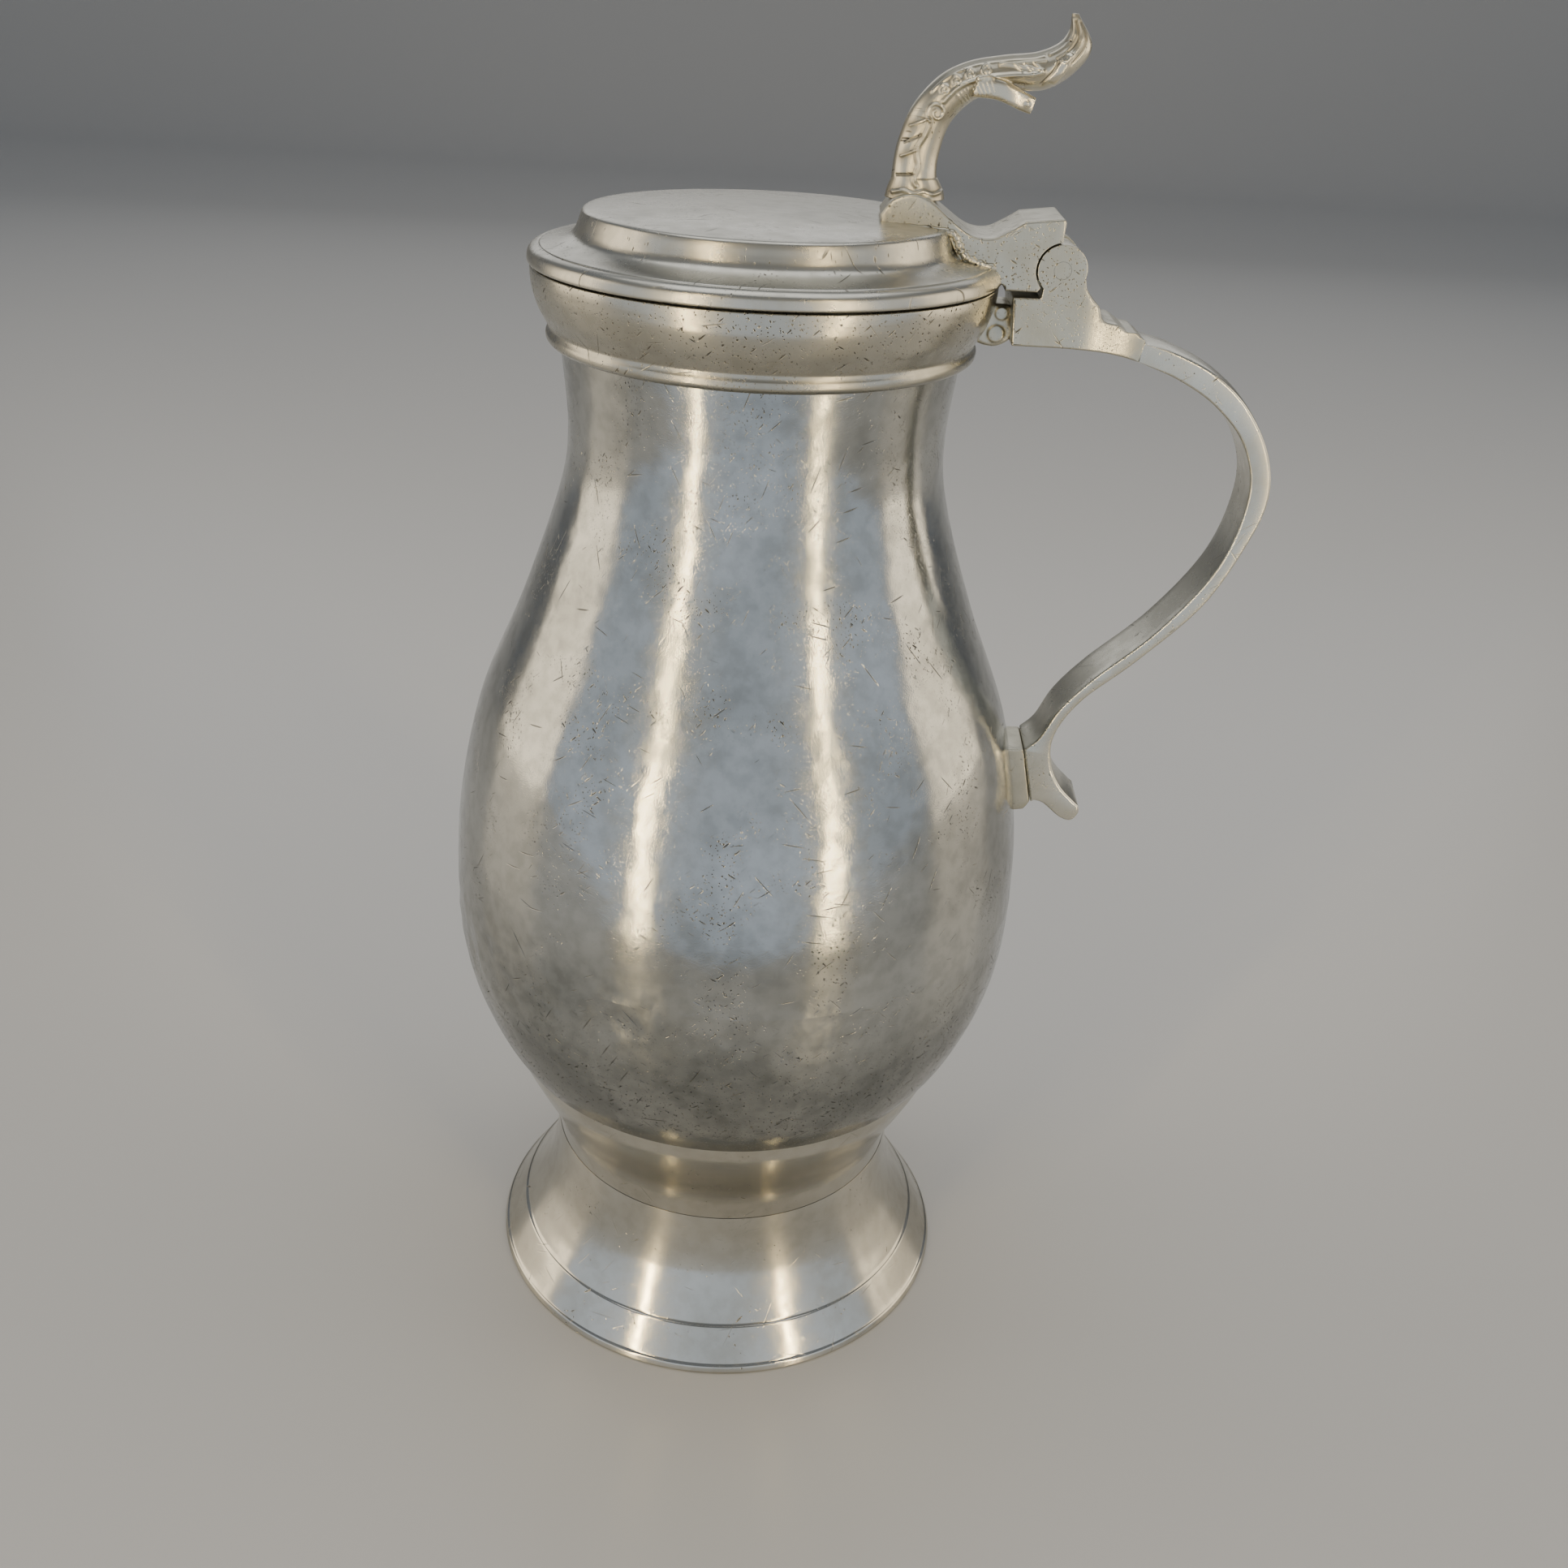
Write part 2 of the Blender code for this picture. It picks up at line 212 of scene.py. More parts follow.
def turned_tree():
    """Turns a profile polyline about Z, with shallow dents and a slow wander of the radius."""
    tree = bpy.data.node_groups.new("turned_piece", "GeometryNodeTree")
    face = tree.interface
    face.new_socket("Profile", in_out="INPUT", socket_type="NodeSocketGeometry")
    defaults = {"Segments": ("Int", 240), "Wander": ("Float", 0.0), "Wander size": ("Float", 0.03),
                "Dent depth": ("Float", 0.0), "Dent size": ("Float", 0.007),
                "Dent height": ("Float", 0.1), "Dent reach": ("Float", 0.02),
                "Dent side": ("Float", 0.0), "Seed": ("Float", 1.0)}
    for label, (kind, value) in defaults.items():
        face.new_socket(label, in_out="INPUT", socket_type="NodeSocket" + kind).default_value = value
    face.new_socket("Material", in_out="INPUT", socket_type="NodeSocketMaterial")
    face.new_socket("Mesh", in_out="OUTPUT", socket_type="NodeSocketGeometry")
    given = add(tree, "NodeGroupInput").outputs

    def calc(operation, *values):
        return math_node(tree, operation, *values)

    counted = add(tree, "GeometryNodeAttributeDomainSize", {"Geometry": given["Profile"]})
    count = counted.outputs["Point Count"]
    around = calc("ADD", given["Segments"], 1.0)
    grid = add(tree, "GeometryNodeMeshGrid", {"Vertices X": around, "Vertices Y": count}).outputs["Mesh"]
    index = add(tree, "GeometryNodeInputIndex").outputs[0]
    column = calc("FLOOR", calc("DIVIDE", calc("ADD", index, 0.5), count))
    row = calc("SUBTRACT", index, calc("MULTIPLY", column, count))
    place = add(tree, "GeometryNodeInputPosition").outputs[0]
    taken = add(tree, "GeometryNodeSampleIndex", data_type="FLOAT_VECTOR")
    tree.links.new(given["Profile"], taken.inputs["Geometry"])
    tree.links.new(place, taken.inputs["Value"])
    tree.links.new(row, taken.inputs["Index"])
    point = add(tree, "ShaderNodeSeparateXYZ", {0: taken.outputs[0]}).outputs
    turn = calc("DIVIDE", calc("MULTIPLY", column, 2 * math.pi), given["Segments"])
    cosine, sine = calc("COSINE", turn), calc("SINE", turn)

    def at_radius(radius):
        level = {0: calc("MULTIPLY", radius, cosine), 1: calc("MULTIPLY", radius, sine)}
        return add(tree, "ShaderNodeCombineXYZ", {**level, 2: point["Z"]}).outputs[0]

    def swell(size, detail):
        """Noise about zero, with features of that size."""
        texture = add(tree, "ShaderNodeTexNoise", {"Detail": detail, "W": given["Seed"]},
                      noise_dimensions="4D")
        tree.links.new(at_radius(point["X"]), texture.inputs["Vector"])
        tree.links.new(calc("DIVIDE", 1.0, size), texture.inputs["Scale"])
        return calc("SUBTRACT", texture.outputs[0], 0.5)

    off_height = calc("ABSOLUTE", calc("SUBTRACT", point["Z"], given["Dent height"]))
    band = calc("MAXIMUM", calc("SUBTRACT", 1.0, calc("DIVIDE", off_height, given["Dent reach"])), 0.0)
    facing = calc("COSINE", calc("SUBTRACT", turn, given["Dent side"]))
    side = calc("MAXIMUM", calc("ADD", calc("MULTIPLY", facing, 1.3), -0.3), 0.12)
    dents = calc("MULTIPLY", swell(given["Dent size"], 1.0), given["Dent depth"])
    dents = calc("MULTIPLY", dents, calc("MULTIPLY", band, side))
    wander = calc("MULTIPLY", swell(given["Wander size"], 1.0), given["Wander"])
    off_axis = calc("MINIMUM", calc("DIVIDE", point["X"], 0.008), 1.0)
    change = calc("MULTIPLY", calc("ADD", dents, wander), off_axis)
    moved = at_radius(calc("ADD", point["X"], change))
    shaped = add(tree, "GeometryNodeSetPosition", {"Geometry": grid, "Position": moved}).outputs[0]
    merged = add(tree, "GeometryNodeMergeByDistance", {"Geometry": shaped, "Distance": 2e-7}).outputs[0]
    plain = add(tree, "GeometryNodeRealizeInstances", {"Geometry": merged}).outputs[0]
    coated = add(tree, "GeometryNodeSetMaterial",
                 {"Geometry": plain, "Material": given["Material"]}).outputs[0]
    result = add(tree, "NodeGroupOutput")
    tree.links.new(coated, result.inputs[0])
    return tree


TURNED = turned_tree()


def socket_ids(tree):
    return {item.name: item.identifier for item in tree.interface.items_tree if item.in_out == "INPUT"}


def turned(name, profile, material, closed=True, **inputs):
    """A turned piece from a (radius, height) profile in mm."""
    line = profile + [profile[0]] if closed else profile
    mesh = bpy.data.meshes.new(name + "_profile")
    edges = [(i, i + 1) for i in range(len(line) - 1)]
    mesh.from_pydata([(r * MM, 0, z * MM) for r, z in line], edges, [])
    source = bpy.data.objects.new(name + "_source", mesh)
    bpy.context.collection.objects.link(source)
    step = source.modifiers.new("turned", "NODES")
    step.node_group = TURNED
    ids = socket_ids(TURNED)
    step[ids["Material"]] = material
    for label, value in inputs.items():
        step[ids[label.replace("_", " ")]] = value
    made = evaluated(source)
    made.name = name
    return keep(name, made, material)


# ---- upright plates with rounded edges ------------------------------------------------------------

def plate_mesh(outline, half_width, edge, crown=0.0, across=5):
    """Closed mesh of an outline in the XZ plane (mm), with rounded edges.

    half_width is a number, or a pair: the widest half and a function of x that gives it. edge (the radius
    of the rounded edge) and crown (how far the rim falls away from its middle to its edges) are numbers,
    or functions of a point of the outline.
    """
    def as_function(value):
        return value if callable(value) else (lambda point: value)

    edge_at, fall_at = as_function(edge), as_function(crown)
    half, width_at = half_width if isinstance(half_width, tuple) else (half_width, None)
    path = [Vector(p) for p in outline]
    if sum(a.x * b.y - b.x * a.y for a, b in zip(path, path[1:] + path[:1])) < 0:
        path.reverse()
    count = len(path)
    outward = []
    for i in range(count):
        along = (path[(i + 1) % count] - path[i - 1]).normalized()
        outward.append(Vector((along.y, -along.x)))
    turns = [math.radians(22.5 * k) for k in range(5)]
    corner = [(1 - math.sin(turn), 1 - math.cos(turn)) for turn in turns]
    rings = [(-1, inset, pull) for inset, pull in corner]
    rings += [(-1 + 2 * k / (across + 1), 0.0, 1.0) for k in range(1, across + 1)]
    rings += [(1, inset, pull) for inset, pull in reversed(corner)]
    shape = bmesh.new()
    loops = []
    for side, inset, pull in rings:
        loop = []
        for point, out in zip(path, outward):
            round_off = edge_at(point)
            y = side * (half - pull * round_off)
            spot = point - out * (fall_at(point) * (y / half) ** 2 + inset * round_off)
            loop.append(shape.verts.new((spot.x * MM, y * MM, spot.y * MM)))
        loops.append(loop)
    for one, two in zip(loops, loops[1:]):
        for i in range(count):
            j = (i + 1) % count
            shape.faces.new((one[i], one[j], two[j], two[i]))
    for loop in (loops[0], loops[-1]):
        flat = [Vector((v.co.x, v.co.z, 0)) / MM for v in loop]
        for triangle in tessellate_polygon([flat]):
            shape.faces.new([loop[k] for k in triangle])
    if width_at:
        for x in np.arange(min(p.x for p in path) + 1, max(p.x for p in path), 1.5):
            geometry = [*shape.verts, *shape.edges, *shape.faces]
            bmesh.ops.bisect_plane(shape, geom=geometry, plane_co=(x * MM, 0, 0), plane_no=(1, 0, 0))
        for vertex in shape.verts:
            vertex.co.y *= width_at(vertex.co.x / MM) / half
    bmesh.ops.recalc_face_normals(shape, faces=shape.faces)
    mesh = bpy.data.meshes.new("plate")
    shape.to_mesh(mesh)
    shape.free()
    return mesh


def loose(mesh, name="tool"):
    made = bpy.data.objects.new(name, mesh)
    bpy.context.collection.objects.link(made)
    return made


def bar_mesh(centre, radius, half_width, segments=48):
    """Round bar along Y."""
    shape = bmesh.new()
    place = Matrix.Translation(Vector((centre[0], 0, centre[1])) * MM)
    upright = Matrix.Rotation(math.pi / 2, 4, "X")
    bmesh.ops.create_cone(shape, cap_ends=True, segments=segments, radius1=radius * MM,
                          radius2=radius * MM, depth=2 * half_width * MM, matrix=place @ upright)
    mesh = bpy.data.meshes.new("bar")
    shape.to_mesh(mesh)
    shape.free()
    return mesh


def combined(base, *steps):
    """Mesh of a base after Boolean steps, each (operation, mesh)."""
    body = loose(base)
    tools = []
    for operation, mesh in steps:
        tool = loose(mesh)
        tools.append(tool)
        step = body.modifiers.new("step", "BOOLEAN")
        step.operation = operation
        step.object = tool
        step.solver = "EXACT"
    result = evaluated(body)
    for tool in tools:
        bpy.data.objects.remove(tool, do_unlink=True)
    return result


def softened(mesh, voxel, passes):
    """Voxel remesh and a few smoothing passes, as a casting's edges are soft."""
    body = loose(mesh)
    remesh = body.modifiers.new("even", "REMESH")
    remesh.mode = "VOXEL"
    remesh.voxel_size = voxel * MM
    relax = body.modifiers.new("relax", "SMOOTH")
    relax.factor = 0.5
    relax.iterations = passes
    return evaluated(body)


# ---- materials ------------------------------------------------------------------------------------

UPRIGHT = 0.0
LEVEL = -1.0
# Colour of the pits and scratches, and of the painted shade in the thumbpiece's grooves.
DIRT_AND_SHADE = "#26221d"
CRINKLE_HEIGHT = 108.0


def surface_plane(tree, where, radius_mm):
    """Object coordinates in millimetres, laid flat.

    They are unrolled round Z at that radius, or lie in an UPRIGHT plane or in the LEVEL one.
    """
    level = radius_mm == LEVEL
    spot = add(tree, "ShaderNodeSeparateXYZ", {0: where}).outputs
    high = math_node(tree, "MULTIPLY", spot[1 if level else 2], 1 / MM)
    if level:
        wide = math_node(tree, "MULTIPLY", spot[0], 1 / MM)
    elif radius_mm != UPRIGHT:
        turn = math_node(tree, "ARCTAN2", spot[1], spot[0])
        wide = math_node(tree, "MULTIPLY", turn, radius_mm)
    else:
        wide = math_node(tree, "MULTIPLY", math_node(tree, "ADD", spot[0], spot[1]), 1 / MM)
    return add(tree, "ShaderNodeCombineXYZ", {0: wide, 1: high}).outputs[0]


def pewter(name, light, dark, roughness, unrolled=UPRIGHT, pits=0.5, scratches=0.5, turning=0.0,
           brushed=0.0, grain=1.0, recess=False, worn=(0.0, 0.0), hammering_and_low_shade=0.0):
    """Old pewter: a soft tin alloy with a warm grey patina.

    light and dark are the colours of rubbed and of tarnished metal. unrolled is the radius at which the
    marks are laid round the piece, or UPRIGHT or LEVEL. pits are pores under 1 mm wide and nicks 1 to
    2 mm long, and scratches are hairlines 2 to 8 mm long. turning is the faint ringing that a lathe tool
    leaves every 0.5 mm, or straight rubbing on the LEVEL plane, and brushed is the long grain of a file
    or cloth. worn is a height and a reach in mm within which the nicks crowd. hammered adds shallow 6 mm
    waves and a crinkled belt at the belly, and below the belly it mixes the colour towards dark, as a
    painted reflection of a dark floor. recess adds the piece's own attribute, painted shade in its
    grooves, to the dark of the pits and scratches.
    """
    made = bpy.data.materials.new(name)
    made.use_nodes = True
    tree = made.node_tree
    shader = tree.nodes["Principled BSDF"]
    shader.inputs["Metallic"].default_value = 1.0
    where = add(tree, "ShaderNodeTexCoord").outputs["Object"]
    plane = surface_plane(tree, where, unrolled)

    def noise(size_mm, detail=2.0, offset=0.0):
        laid = add(tree, "ShaderNodeMapping",
                   {"Vector": where, "Location": (offset, offset * 0.7, offset * 1.3)})
        return add(tree, "ShaderNodeTexNoise", {"Vector": laid.outputs[0], "Scale": 1 / (size_mm * MM),
                                                "Detail": detail}).outputs[0]

    def between(value, least, most, start=0.0, stop=1.0):
        return add(tree, "ShaderNodeMapRange", {"Value": value, "From Min": least, "From Max": most,
                                                "To Min": start, "To Max": stop},
                   interpolation_type="SMOOTHSTEP").outputs[0]

    def times(*values):
        total = values[0]
        for value in values[1:]:
            total = math_node(tree, "MULTIPLY", total, value)
        return total

    def plus(*values):
        total = values[0]
        for value in values[1:]:
            total = math_node(tree, "ADD", total, value)
        return total

    def marks(degrees, pitch_mm, length_mm, size, share, offset):
        """Needle or speck shaped marks in the surface plane, at most one to a cell of pitch by length."""
        bent = add(tree, "ShaderNodeMapping", {"Vector": plane, "Rotation": (0, 0, math.radians(degrees)),
                                               "Location": (offset * 37.0, offset * 91.0, 0)}).outputs[0]
        laid = add(tree, "ShaderNodeMapping", {"Vector": bent, "Scale": (1 / pitch_mm, 1 / length_mm, 1)})
        cells = add(tree, "ShaderNodeTexVoronoi", {"Vector": laid.outputs[0], "Scale": 1.0},
                    voronoi_dimensions="2D")
        pick = add(tree, "ShaderNodeSeparateXYZ", {0: cells.outputs["Color"]}).outputs
        reach = math_node(tree, "MULTIPLY", math_node(tree, "ADD", pick[1], 0.35), size)
        off_centre = math_node(tree, "DIVIDE", cells.outputs["Distance"], reach)
        inside_mark = math_node(tree, "SUBTRACT", 1.0, off_centre)
        return times(between(inside_mark, 0.0, 0.6), between(pick[0], 1 - share, 1 - share + 0.02))

    def at_most_one(value):
        return math_node(tree, "MINIMUM", value, 1.0)

    def away_from(height):
        return math_node(tree, "ABSOLUTE", math_node(tree, "SUBTRACT", high, height))

    high = add(tree, "ShaderNodeSeparateXYZ", {0: plane}).outputs[1]
    patina = between(noise(30, 4.0), 0.36, 0.66)
    mottle = between(noise(3.5, 3.0, 3.0), 0.35, 0.7)
    clumps = between(noise(13, 3.0, 7.0), 0.47, 0.66, 0.06, 1.0)
    if worn[1]:
        clumps = plus(clumps, between(away_from(worn[0]), 0.0, worn[1], 0.75, 0.0))
    specks = plus(marks(20, 1.6, 1.9, 0.13, 0.38 * pits, 0.3),
                  marks(-35, 1.0, 2.3, 0.13, 0.32 * pits, 1.7),
                  marks(70, 0.7, 0.8, 0.17, 0.3 * pits, 2.9))
    nicks = plus(marks(48, 1.5, 9.0, 0.10, 0.34 * pits, 4.1),
                 marks(-62, 1.6, 8.0, 0.10, 0.28 * pits, 5.3))
    pit = times(at_most_one(plus(specks, nicks)), at_most_one(clumps))
    hairs = plus(marks(28, 3.1, 60.0, 0.044, 0.55, 6.1), marks(-41, 3.7, 80.0, 0.038, 0.6, 7.7),
                 marks(81, 4.3, 80.0, 0.034, 0.6, 8.9), marks(-78, 2.9, 60.0, 0.038, 0.5, 9.3),
                 marks(57, 2.3, 36.0, 0.052, 0.35, 10.9))
    line = times(at_most_one(hairs), scratches)

    def streaks(across_mm, along_mm, detail, offset, level):
        """Long grain: level along the surface if level, else upright."""
        scale = (1 / along_mm, 1 / across_mm, 1) if level else (1 / across_mm, 1 / along_mm, 1)
        laid = add(tree, "ShaderNodeMapping",
                   {"Vector": plane, "Scale": scale, "Location": (offset, offset, 0)})
        return add(tree, "ShaderNodeTexNoise",
                   {"Vector": laid.outputs[0], "Scale": 1.0, "Detail": detail},
                   noise_dimensions="2D").outputs[0]

    ringing = streaks(0.5, 60.0, 2.0, 3.0, True)
    rubbed = streaks(0.3, 14.0, 2.0, 11.0, False)
    sand = noise(0.25, 1.0, 13.0)
    ripple = noise(6.0, 1.0, 17.0)
    crinkle = times(noise(2.0, 2.0, 19.0), between(away_from(CRINKLE_HEIGHT), 2.0, 17.0, 1.0, 0.0))

    depth = plus(times(pit, -0.07), times(line, -0.03), times(ringing, 0.006 * turning),
                 times(rubbed, 0.006 * brushed), times(sand, 0.004 * grain),
                 times(ripple, 0.03 + 0.09 * hammering_and_low_shade), times(crinkle, 0.09 * hammering_and_low_shade))
    bump = add(tree, "ShaderNodeBump", {"Height": times(depth, MM), "Strength": 1.0, "Distance": 1.0})
    tree.links.new(bump.outputs[0], shader.inputs["Normal"])

    # Pits and scratches are darkened; with recess, the painted shade of the grooves is added too.
    dirt_and_shade = plus(times(pit, 0.85), times(line, 0.40))
    if recess:
        painted_groove_shade = add(tree, "ShaderNodeAttribute", attribute_name="painted_groove_shade").outputs["Fac"]
        dirt_and_shade = plus(dirt_and_shade, painted_groove_shade)
    # Painted reflection: below the belly the colour is mixed towards dark, standing for a dark floor.
    low_painted_reflection = between(high, 78.0, 122.0, 1.0, 0.0)
    tarnish_and_low_shade = plus(times(patina, 0.5), times(mottle, 0.25), times(rubbed, 0.3 * brushed),
                   times(low_painted_reflection, 0.55 * hammering_and_low_shade))
    metal = color_mix(tree, at_most_one(tarnish_and_low_shade), linear(light), linear(dark))
    tree.links.new(color_mix(tree, dirt_and_shade, metal, linear(DIRT_AND_SHADE)), shader.inputs["Base Color"])
    rough = plus(times(patina, 0.06), times(mottle, 0.05), times(dirt_and_shade, 0.25), roughness)
    tree.links.new(math_node(tree, "MINIMUM", rough, 0.85), shader.inputs["Roughness"])
    return made


# Bulb and neck: cast and turned pewter, worn by handling, so it shines softly through its patina.
# Below the belly its colour is darkened, as a painted reflection of a dark floor.
bulb_finish_and_low_shade = pewter("worn_turned_pewter_low_shade", "#b9bab6", "#7a7c79", 0.10, 60.0, pits=1.3, scratches=1.6,
                     turning=0.4, grain=3.0, worn=(84.0, 26.0), hammering_and_low_shade=1.0)
# The lip takes the knocks of the lid and is full of pores.
lip_finish = pewter("pitted_lip_pewter", "#b9b6aa", "#939085", 0.22, 46.0, pits=1.2, scratches=1.0,
                    turning=0.3, worn=(247.0, 9.0))
# The lid is rubbed in one direction across its flat top.
lid_finish = pewter("rubbed_lid_pewter", "#c0bdb2", "#99978c", 0.25, LEVEL, pits=0.6, scratches=1.6,
                    turning=0.6)
# The foot was buffed: it is paler than the bulb, with few pores and little grain.
foot_finish = pewter("buffed_foot_pewter", "#cbc8be", "#a6a398", 0.12, 46.0, pits=0.25, scratches=0.5,
                     turning=0.3, grain=0.5)
# Castings round the hinge: filed flat, with open pores.
cast_finish = pewter("filed_cast_pewter", "#c9c5b5", "#a09c8b", 0.28, pits=1.7, scratches=1.0,
                     brushed=0.7, grain=2.0, worn=(253.0, 14.0))
# The thumbpiece has painted shade in its grooves and beside its raised lines, and none on the raised
# lines.
relief_finish_and_shade = pewter("chased_cast_pewter_groove_shade", "#d2ccb9", "#a29a84", 0.25, pits=0.5, scratches=0.3,
                       grain=2.0, recess=True)
# The strap is rubbed smooth by hands. Its colour is painted lighter than the castings',
# as a painted sheen on its flat sides.
strap_finish_painted_bright = pewter("hand_rubbed_pewter_painted_bright", "#d8d5c8", "#b4b1a4", 0.22, pits=0.5, scratches=0.7,
                      brushed=0.5)
# Inside, the metal is dull and grey.
inside_finish = pewter("dull_inside_pewter", "#8a867e", "#716d65", 0.5, pits=0.4, scratches=0.2)


# ---- vessel ---------------------------------------------------------------------------------------

def make_foot():
    flare = smooth([(51.3, 10.5), (48.5, 15.2), (45.5, 21.4), (43.8, 28.2), (42.9, CREASE)], 12)
    rim = [(FOOT_R - 5, 0.0), (FOOT_R - 0.3, 0.0), (FOOT_R, 0.5), (57.5, 1.9), (56.9, 2.2), (56.3, 3.1)]
    band = smooth([(55.2, 4.9), (53.6, 7.5), (52.2, 9.7)], 4)
    outer = eased(rim + band + [(51.7, 9.9)], 0.35, closed=False) + flare
    shell = outer + list(reversed(inside(flare, 2.2))) + [(51.0, 6.0), (FOOT_R - 5, 0.5)]
    return turned("foot_flare", shell, foot_finish, Wander=0.12 * MM, Seed=3.0)


def make_collar():
    outer = smooth([(42.8, CREASE + 0.05), (43.1, 38.6), (43.7, 42.0), (45.0, 46.2), (47.4, 51.2),
                    (50.2, 56.8), (52.8, 62.5), (54.3, WAIST + 0.2)], 8)
    shell = outer + list(reversed(inside(outer, WALL)))
    return turned("waist_collar", shell, foot_finish, Wander=0.2 * MM, Seed=3.0)


def make_floor():
    low, high = (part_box("floor_disc")[k][2] / MM for k in (0, 1))
    radius = radius_of("floor_disc")
    edge = eased([(0.0, high), (radius, high), (radius, low), (0.0, low)], 0.5, closed=False)
    return turned("floor_plate", edge, inside_finish, closed=False)


DENTS = {"Wander": 0.45 * MM, "Wander_size": 30 * MM, "Dent_depth": 1.7 * MM, "Dent_size": 6 * MM,
         "Dent_height": 104 * MM, "Dent_reach": 20 * MM, "Dent_side": math.radians(228), "Seed": 5.0,
         "Segments": 320}


def make_body_lower():
    outer = [(53.9, WAIST + 0.35), (54.6, WAIST + 0.5)]
    outer += smooth([(55.0, WAIST + 0.9), (58.2, 73.2), (61.5, 81.0), (64.2, 89.5), (65.8, 99.0),
                     (BELLY_R, SEAM + 0.15)], 16)
    return turned("bulb_lower", outer + list(reversed(inside(outer, WALL))), bulb_finish_and_low_shade, **DENTS)


def make_body_upper():
    outer = smooth([(BELLY_R, SEAM + 0.15), (65.0, 130.0), (59.8, 155.0), (49.5, 180.0),
                    (41.6, 203.0), (39.6, 217.0), (41.0, NECK + 0.3)], 18)
    return turned("bulb_upper", outer + list(reversed(inside(outer, WALL))), bulb_finish_and_low_shade, **DENTS)


def make_lip():
    wire = [(41.2, NECK + 0.3), (43.0, NECK + 0.5), (43.9, NECK + 1.3), (43.95, 236.6), (43.5, 237.3),
            (43.35, 238.0)]
    cup = smooth([(43.8, 238.7), (44.6, 240.1), (45.6, 242.0), (46.6, 245.2), (46.95, 247.6)], 8)
    edge = [(LIP_R, SEAT - 0.1), (44.6, SEAT - 0.1)]
    throat = smooth([(44.5, 248.4), (44.1, 245.0), (41.8, 239.0), (39.2, NECK + 0.3)], 4)
    outline = eased(wire + cup + edge + throat, 0.45)
    return turned("lip_cup", outline, lip_finish, Wander=0.15 * MM, Seed=8.0)


def near_hinge(point, fine, coarse):
    """Edges are left sharp where the lug and the ears face each other."""
    off = (point - Vector((hinge.x, hinge.z))).length
    return fine if off < EAR_R + 1.2 else coarse


# ---- lid ------------------------------------------------------------------------------------------

def lid_profile():
    """From the centre of the top, out and down to the rim, then back in under the lid."""
    top = LID_TOP - 1.0
    crown = smooth([(0.0, LID_TOP), (12.0, LID_TOP - 0.1), (24.0, top + 0.6), (34.4, top + 0.15)], 8)
    edge = [(36.4, top - 0.05)]
    wall = smooth([(36.9, 258.7), (37.4, 257.3), (38.0, 256.0), (39.0, 255.0), (41.2, 254.2),
                   (44.9, 253.5)], 6)
    rim = [(45.1, 253.2), (45.5, 253.3), (46.6, 252.9), (LID_R - 0.2, 252.0), (LID_R, SEAT + 0.5),
           (LID_R - 0.6, SEAT + GAP)]
    under = [(39.5, SEAT + GAP), (36.4, 253.0), (34.0, top - WALL), (0.0, top - WALL)]
    return eased(crown + edge + wall + rim + under, 0.8, closed=False)


def make_lid_cover():
    return turned("lid_turned", lid_profile(), lid_finish, closed=False, Wander=0.25 * MM, Seed=12.0)


def make_bezel():
    low, high = (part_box("lid_bezel")[k][2] / MM for k in (0, 1))
    outer = radius_of("lid_bezel")
    ring = [(outer - 2.4, low), (outer - 0.4, low), (outer, high + 0.5), (outer - 2.4, high + 0.5)]
    return turned("lid_ring", eased(ring, 0.5), inside_finish)


def lug_half(x):
    """Half the lug's width: 6.5 mm at its front end, growing to the hinge's over 14.5 mm."""
    share = min(max((x - 22.0) / 14.5, 0.0), 1.0)
    return 6.5 + (HINGE_HALF - 6.5) * share


def solder_bead(side):
    """Uneven bead along the foot of the lug, where it was soldered to the lid."""
    line = smooth([(22.6, 259.6), (27.0, 259.8), (33.0, 259.7), (36.4, 259.3), (37.7, 257.4),
                   (38.8, 255.6), (41.4, 254.3), (45.2, 253.3)], 6)
    shape = bmesh.new()
    sections = []
    for i, point in enumerate(line):
        ahead, behind = line[min(i + 1, len(line) - 1)], line[max(i - 1, 0)]
        along = (Vector(ahead) - Vector(behind)).normalized()
        across = Vector((-along.y, along.x))
        radius = 0.75 + 0.16 * math.sin(1.9 * i) + 0.1 * math.sin(4.3 * i + 1)
        at = Vector(point)
        out = side * (lug_half(at.x) - 0.05)
        sections.append((at + across * radius, at - across * radius, out, radius))
    swept(shape, sections, 16, 1.0)
    bmesh.ops.recalc_face_normals(shape, faces=shape.faces)
    mesh = bpy.data.meshes.new("solder_bead")
    shape.to_mesh(mesh)
    shape.free()
    return mesh


